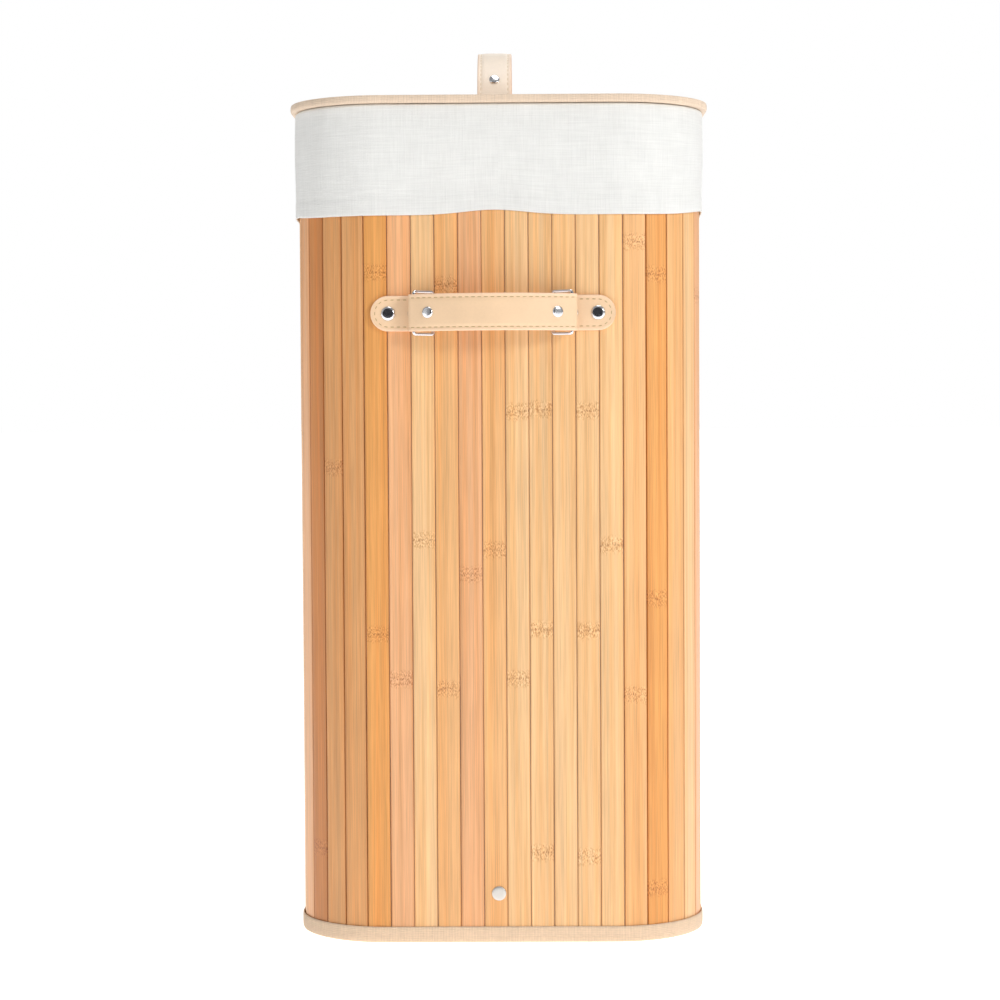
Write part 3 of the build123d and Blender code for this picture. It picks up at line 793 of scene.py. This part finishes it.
# ---- handles ----
class Handle:
    """One strap handle: its place, read from its packed rings, tabs and straps."""

    def __init__(self, name, host, outward, along):
        self.name, self.host = name, host
        # the lid's handle takes the paler copies of leather and thread: painted light from above
        shade = "pale_" if host == "lid" else ""
        self.leather, self.thread = f"{shade}leather", f"{shade}thread"
        self.normal, self.along = Vector(outward), Vector(along)
        self.across = self.normal.cross(self.along)
        surface = {"hamper": half_length, "lid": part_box("lid_slats")[1].z}[host]
        low, high = self.span(f"{name}_tab_rivets")
        self.middle = (low.x + high.x) / 2, (low.y + high.y) / 2
        self.surface = surface
        low, high = self.span(f"{name}_ring_right")
        self.pivot, self.pivot_lift = low.x - self.middle[0] + wire, low.z - surface + wire
        self.leg, self.leg_lift = high.x - self.middle[0] - wire, high.z - surface - wire
        rise = self.span(f"{name}_strap_right")[1].z - surface - self.leg_lift - strap_under - strap_ply
        self.bow = (self.leg**2 + rise**2) / (2 * rise)
        self.bow_lift = self.leg_lift + rise - self.bow
        self.leg_turn = asin(self.leg / self.bow)

    def span(self, node):
        """A node's lowest and highest (along, across, outward)."""
        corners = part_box(node)
        local = [Vector((c.dot(self.along), c.dot(self.across), c.dot(self.normal))) for c in corners]
        return Vector(map(min, *local)), Vector(map(max, *local))

    def place(self, x, y, lift):
        """Local arrays to an array of points in the frame."""
        x, y, lift = np.broadcast_arrays(x, y, lift)
        axes = [np.array(v) for v in (self.along, self.across, self.normal)]
        parts = (x + self.middle[0], y + self.middle[1], lift + self.surface)
        return sum(part[..., None] * axis for part, axis in zip(parts, axes))

    def line(self, along, lift=0.0):
        """(x, lift) at a distance from the right ring's leg towards the middle, on the strap's arc."""
        angle = pi / 2 - self.leg_turn + np.asarray(along) / self.bow
        reach = self.bow + lift
        return np.stack([reach * np.cos(angle), self.bow_lift + reach * np.sin(angle)], axis=-1)

    def strap_path(self):
        """The middle of the strap's ply: turned-back end, round the leg, over to the middle. Right half."""
        under, over = strap_under - strap_ply / 2, strap_under + strap_ply / 2
        squeeze = 0.45 * strap_fold
        back = np.linspace(strap_fold, squeeze, 9)[:-1]
        lift = np.full(len(back), under)
        neck = np.linspace(squeeze, 0, 12)[:-1]
        lift = np.concatenate([lift, under + (-over - under) * smoothstep(1 - neck / squeeze)])
        lower = self.line(np.concatenate([back, neck]), lift)
        start = pi / 2 - self.leg_turn
        angles = np.linspace(start - pi, start, 17)
        leg = np.array([self.leg, self.leg_lift])
        loop = leg + over * np.stack([np.cos(angles), np.sin(angles)], axis=1)
        top = self.line(np.linspace(0, self.bow * self.leg_turn, top_steps)[1:], over)
        return np.concatenate([lower, loop, top])

    def tab_path(self):
        """The middle of the tab's ply from its round end, round the pivot and back, and its half widths."""
        centre, end = self.pivot + tab_outer, self.pivot + tab_outer + tab_half
        mid = self.pivot_lift - tab_ply / 2
        tip = centre + tab_half * np.sin(np.linspace(1, 0, 14) * pi / 2 * 0.985)
        flat = np.linspace(centre, self.pivot, 22)[1:]
        lower = np.concatenate([tip, flat])
        angles = np.linspace(-pi / 2, -3 * pi / 2, 15)[1:-1]
        loop_x = self.pivot + mid * np.cos(angles)
        loop_lift = self.pivot_lift + mid * np.sin(angles)
        upper = lower[::-1]
        drop = smoothstep((upper - self.pivot) / 0.0075)
        upper_lift = (self.pivot_lift + mid) * (1 - drop) + tab_ply * 1.5 * drop
        x = np.concatenate([lower, loop_x, upper])
        lift = np.concatenate([np.full(len(lower), tab_ply / 2), loop_lift, upper_lift])
        half = np.sqrt(np.clip(tab_half**2 - np.clip(x - centre, 0, None) ** 2, 1e-9, None))
        return np.stack([x, lift], axis=1), half


def strap_section(half, ply, groove, pad):
    """A strap's cross-section and how much of it swells: rounded edges, sewn grooves, padded middle."""
    radius = min(ply * 0.42, 0.0007)
    sewn = half - 0.0027
    outer = []
    for turn in (1, 0.66, 0.33, 0):
        angle = turn * pi / 2
        x, w = half - radius * (1 - cos(angle)), ply / 2 - radius * (1 - sin(angle))
        outer.append((x, w, 0, 1 - 0.55 * turn))
    outer = [(x, w, p, e) for x, w, p, e in reversed(outer)]
    outer += [(sewn + 0.0011, ply / 2, 0, 0.35), (sewn + 0.0004, ply / 2 - groove * 0.5, 0, 0)]
    outer += [(sewn, ply / 2 - groove, 0, 0), (sewn - 0.0005, ply / 2 - groove * 0.4, 0.1, 0)]
    outer += [(sewn - 0.0014, ply / 2, 0.65, 0), (sewn - 0.003, ply / 2, 0.95, 0), (sewn * 0.4, ply / 2, 1, 0)]
    mirrored = [(-x, w, p, e) for x, w, p, e in reversed(outer)]
    under = [(-half + radius, -ply / 2, 0, 0.4), (0, -ply / 2, 0, 0), (half - radius, -ply / 2, 0, 0.4)]
    low_left, low_right = (-half, -ply / 2 + radius, 0, 1), (half, -ply / 2 + radius, 0, 1)
    section = np.array([*outer, *mirrored, low_left, *under, low_right])
    section[:, 2] *= pad
    return section


def ribbon(handle, path, section, scale=None, swell=None, side=1):
    """A leather ply swept along a path of (x, lift), as a grid, its distances and its edge values."""
    ahead = np.gradient(path, axis=0)
    ahead /= np.linalg.norm(ahead, axis=1)[:, None]
    up = np.stack([-ahead[:, 1], ahead[:, 0]], axis=1) * side
    scale = np.ones(len(path)) if scale is None else scale
    swell = np.ones(len(path)) if swell is None else swell
    rise = section[:, 1] + section[:, 2] * swell[:, None]
    x = path[:, :1] + up[:, :1] * rise
    lift = path[:, 1:] + up[:, 1:] * rise
    across = section[:, 0] * scale[:, None]
    grid = handle.place(x, across, lift)
    distance = np.concatenate([[0], np.cumsum(np.linalg.norm(np.diff(path, axis=0), axis=1))])
    edges = np.broadcast_to(section[:, 3], rise.shape).reshape(-1, 1)
    return grid, distance, np.append(section[:, 0], section[0, 0]), edges


def strap(handle):
    """The strap: one ribbon with both ends folded back round the rings, and its stitches."""
    half = handle.strap_path()
    path = np.concatenate([half, (half * (-1, 1))[::-1][1:]])
    loose = np.minimum(np.arange(len(path)), np.arange(len(path))[::-1])
    fold = len(half) - top_steps
    swell = smoothstep((loose - fold) / 8)
    section = strap_section(strap_half, strap_ply, 0.00028, 0.00045)
    piece = Piece()
    grid, distance, across, edges = ribbon(handle, path, section, swell=swell, side=-1)
    piece.grid(grid, distance, across, wrap_v=True, caps=True)
    piece.values["edge"] = [edges]
    made = piece.build(f"{handle.name}_strap_leather", LOOKS[handle.leather])
    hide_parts(f"{handle.name}_strap_right", f"{handle.name}_strap_left")
    lines = []
    for way in (-1, 1):
        lane = np.argmin(np.abs(section[:, 0] - way * (strap_half - 0.0027)) + (section[:, 1] < 0))
        lines.append(grid[fold - fold_steps : len(path) - fold + fold_steps, lane])
    centre = handle.place(0.0, 0.0, handle.bow_lift)

    def away(points):
        level = points - centre
        level = level - (level @ np.array(handle.across))[:, None] * np.array(handle.across)
        return level / np.linalg.norm(level, axis=1)[:, None]

    stitches = sew(
        f"{handle.name}_strap_stitches", lines, stitch_pitch, 0.0027, 0.00036, handle.thread, None, away
    )
    for part in (made, stitches):
        start, end = (tuple(handle.place(x, 0.0, handle.leg_lift)) for x in (0.015, -0.015))
        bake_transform(part)


def tab(handle, side):
    """A leather tab, folded round the ring's pivot and sewn round its edge."""
    way = 1 if side == "right" else -1
    path, widths = handle.tab_path()
    section = strap_section(tab_half, tab_ply, 0.00015, 0.0)
    grid, distance, across, edges = ribbon(handle, path * (way, 1), section, widths / tab_half, side=way)
    piece = Piece()
    piece.grid(grid, distance, across, wrap_v=True, caps=True)
    piece.values["edge"] = [edges]
    node = f"{handle.name}_tab_{side}"
    piece.build(f"{node}_leather", LOOKS[handle.leather], handle.host, [node], "leather")
    reach = tab_half - 0.003
    centre = handle.pivot + tab_outer
    straight = np.linspace(handle.pivot + 0.0045, centre, 12)
    turn = np.linspace(-pi / 2, pi / 2, 24)[1:-1]
    x = np.concatenate([straight, centre + reach * np.cos(turn), straight[::-1]])
    y = np.concatenate([np.full(12, -reach), reach * np.sin(turn), np.full(12, reach)])
    drop = smoothstep((x - handle.pivot) / 0.0075)
    lift = 2 * handle.pivot_lift * (1 - drop) + 2 * tab_ply * drop - 0.0001
    line = handle.place(way * x, y, lift)
    up = np.array(handle.normal)
    stitches = sew(
        f"{node}_stitches", [line], stitch_pitch, 0.0024, 0.00034, handle.thread, handle.host,
        lambda points: np.broadcast_to(up, points.shape),
    )


def rivet_profile(head, grip, flat=False):
    """A rivet's half outline as (radius, lift): cap with a rolled rim, shank, and spread tail."""
    height = 0.34 * head
    if flat:
        cap = [(0, 0.2), (0.5, 0.2), (0.84, 0.19), (0.93, 0.17), (0.99, 0.11), (1.0, 0.05), (0.99, 0)]
        profile = [(r * head, z * head) for r, z in cap]
    else:
        cap = [(0, 1), (0.3, 0.99), (0.55, 0.955), (0.70, 0.91), (0.78, 0.85), (0.85, 0.74), (0.91, 0.60)]
        cap += [(0.96, 0.42), (1.0, 0.2), (0.99, 0.06), (0.95, 0)]
        profile = [(r * head, z * height) for r, z in cap]
    profile += [(0.0015, 0), (0.0015, -grip), (0.7 * head, -grip)]
    profile += [(0.6 * head, -grip - 0.0005), (0.3 * head, -grip - 0.0009)]
    return np.array(profile + [(0.00001, -grip - 0.001)])


def rivets(name, node, spots, head, grip, body, look, flat=False):
    """Revolved rivets at (point, direction) spots."""
    piece = Piece()
    turns = np.linspace(0, 2 * pi, 37)
    profile = rivet_profile(head, grip, flat)
    profile[0, 0] = 0.00001
    for point, direction in spots:
        side = direction.orthogonal().normalized()
        other = direction.cross(side)
        circle = np.cos(turns[:-1])[:, None] * np.array(side) + np.sin(turns[:-1])[:, None] * np.array(other)
        rise = profile[:, 1][:, None, None] * np.array(direction)
        grid = np.array(point) + profile[:, 0][:, None, None] * circle + rise
        piece.grid(grid, profile[:, 1], turns * head, wrap_v=True, caps=True)
    piece.build(name, LOOKS[look], body, [node], "steel", sharp=35)


def handle_rivets(handle):
    """The tabs' four rivets and the strap's two."""
    spots = []
    for way in (-1, 1):
        for reach in (tab_inner, tab_outer):
            point = handle.place(way * (handle.pivot + reach), 0.0, 2 * tab_ply - 0.0002)
            spots.append((Vector(point), handle.normal))
    low, _ = handle.span(f"{handle.name}_tab_rivets")
    grip = handle.surface + 2 * tab_ply - low.z - 0.001
    name = f"{handle.name}_tab_rivet"
    rivets(f"{name}_caps", f"{name}s", spots, 0.0052, grip, handle.host, "chrome")
    for side, way in (("right", 1), ("left", -1)):
        x, lift = handle.line(strap_rivet_along, strap_under + strap_ply)
        tip = handle.line(strap_rivet_along, strap_under + strap_ply + 1)
        point = Vector(handle.place(way * x, 0.0, lift))
        direction = (Vector(handle.place(way * tip[0], 0.0, tip[1])) - point).normalized()
        node = f"{handle.name}_strap_rivet_{side}"
        body = f"{handle.name}_strap_{side}"
        rivets(f"{node}_cap", node, [(point + direction * 0.0003, direction)], 0.0041, 0.0043, body, "chrome")


def base_rivets():
    """The flat rivets low on each end."""
    low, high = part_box("base_rivets")
    head, z = 0.0051, (low.z + high.z) / 2
    spots = [(Vector((low.x + head, -half_length, z)), Vector((0, -1, 0)))]
    spots += [(Vector((high.x - head, half_length, z)), Vector((0, 1, 0)))]
    grip = 0.0028 + 0.0016 + 0.001  # wall, keeper, washer
    rivets("base_rivet_caps", "base_rivets", spots, head, grip, "hamper", "satin", flat=True)


# ---- the CAD nodes that stay ----
KEPT = {
    "lining": ("wall_backing", "base_lining", "lid_lining"),
    "rim_tape": ("rim_tape",),
    "board": ("base_board", "lid_board"),
    "wire": ("support_wire_front", "support_wire_back"),
    "chrome": ("_ring_left", "_ring_right", "washers", "rim_rivets"),
    "keeper": ("wire_keepers_front", "wire_keepers_back"),
}


def keeper_look():
    """The keepers' leather, coloured by the frame's own coordinates."""
    look = Look("keeper_leather", roughness=0.5)
    u, v, w = look.surface(False)
    mottle = look.noise(*[look.math("DIVIDE", axis, 0.004) for axis in (u, v, w)], 4)
    look.bump(mottle, 0.0001)
    return look.finish(look.scaled(srgb(222, 184, 142), look.lightness((mottle, 0.3))))


def dress_cad():
    looks = {**LOOKS, "keeper": keeper_look()}
    for look, endings in KEPT.items():
        for name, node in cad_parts.items():
            if name.endswith(endings):
                for k in range(max(1, len(node.material_slots))):
                    if not node.material_slots:
                        node.data.materials.append(looks[look])
                    node.material_slots[k].material = looks[look]


# ---- studio ----
def studio():
    """A white floor and surround, a soft light from the upper right, and a dark card for the metal."""
    scene = bpy.context.scene
    scene.view_settings.view_transform = "Standard"
    world = bpy.data.worlds.new("studio")
    scene.world = world
    world.use_nodes = True
    nodes, links = world.node_tree.nodes, world.node_tree.links
    background = nodes["Background"]
    light = nodes.new("ShaderNodeMix")
    path = nodes.new("ShaderNodeLightPath")
    light.data_type = "FLOAT"
    light.inputs[2].default_value = 0.335
    light.inputs[3].default_value = 1.0
    links.new(path.outputs["Is Camera Ray"], light.inputs[0])
    links.new(light.outputs[0], background.inputs["Strength"])
    background.inputs["Color"].default_value = (1, 1, 1, 1)

    floor_look = Look("studio_floor", roughness=0.9)
    floor_look.shader.inputs["Emission Color"].default_value = (1, 1, 1, 1)
    floor_look.shader.inputs["Emission Strength"].default_value = 0.87
    u, v, _ = floor_look.surface(False)
    speck = floor_look.grain(u, v, 0.02, 0.02, 1.0, 3)
    floor_look.finish(floor_look.scaled((0.93, 0.93, 0.93), floor_look.lightness((speck, 0.01))))
    reach = 40.0
    mesh = bpy.data.meshes.new("floor")
    corners = [(-reach, -reach, 0), (reach, -reach, 0), (reach, reach, 0), (-reach, reach, 0)]
    mesh.from_pydata(corners, [], [(0, 1, 2, 3)])
    floor = placed(bpy.data.objects.new("floor", mesh), floor_look.material)
    floor.location.z = -0.0002

    centre = Vector((0, 0, 0.3))
    for name, spot, size, power in (
        ("key", (1.45, -1.65, 1.15), 0.45, 15.5),
        ("fill", (-1.9, -1.5, 0.9), 1.8, 3),
        ("back", (0.3, 2.3, 1.6), 1.6, 9),
        ("top", (0.2, -0.25, 2.2), 0.8, 12),
    ):
        data = bpy.data.lights.new(name, "AREA")
        data.size, data.energy = size, power
        lamp = bpy.data.objects.new(name, data)
        scene.collection.objects.link(lamp)
        lamp.location = spot
        lamp.rotation_euler = (centre - Vector(spot)).to_track_quat("-Z", "Y").to_euler()

    card_look = Look("dark_card", roughness=0.9)
    card_look.finish((0.02, 0.02, 0.024, 1))
    mesh = bpy.data.meshes.new("dark_card")
    left, right, y, low, high = -2.4, 0.75, -2.35, -0.2, 1.3
    mesh.from_pydata([(left, y, low), (right, y, low), (right, y, high), (left, y, high)], [], [(0, 1, 2, 3)])
    card = placed(bpy.data.objects.new("dark_card", mesh), card_look.material)
    card.visible_camera = card.visible_diffuse = card.visible_shadow = card.visible_transmission = False


def camera():
    """Level with the hamper's upper half, square to its front end."""
    pitch, roll, yaw = 0.0373, 0.0055, -0.0105
    level_right = Vector((cos(yaw), -sin(yaw), 0))
    level_ahead = Vector((sin(yaw), cos(yaw), 0))
    upward = Vector((0, 0, 1))
    ahead = cos(pitch) * level_ahead - sin(pitch) * upward
    over = sin(pitch) * level_ahead + cos(pitch) * upward
    right = cos(roll) * level_right - sin(roll) * over
    up = sin(roll) * level_right + cos(roll) * over
    data = bpy.data.cameras.new("camera")
    data.sensor_width, data.lens = 36.0, 88.45
    data.clip_start, data.clip_end = 0.05, 50
    made = bpy.data.objects.new("camera", data)
    bpy.context.scene.collection.objects.link(made)
    turn = Matrix((right, up, -ahead)).transposed().to_4x4()
    made.matrix_world = Matrix.Translation((0.0184, -1.9323, 0.3799)) @ turn
    bpy.context.scene.camera = made


# ---- everything ----
wall_bamboo()
lid_bamboo()
lid_tape()
base_tape()
liner_skirt()
liner_bag()
liner_bottom()
base_rivets()
handles = (
    Handle("front_handle", "hamper", (0, -1, 0), (1, 0, 0)),
    Handle("back_handle", "hamper", (0, 1, 0), (-1, 0, 0)),
    Handle("lid_handle", "lid", (0, 0, 1), (0, 1, 0)),
)
for handle in handles:
    strap(handle)
    for side in ("right", "left"):
        tab(handle, side)
    handle_rivets(handle)
dress_cad()
studio()
camera()
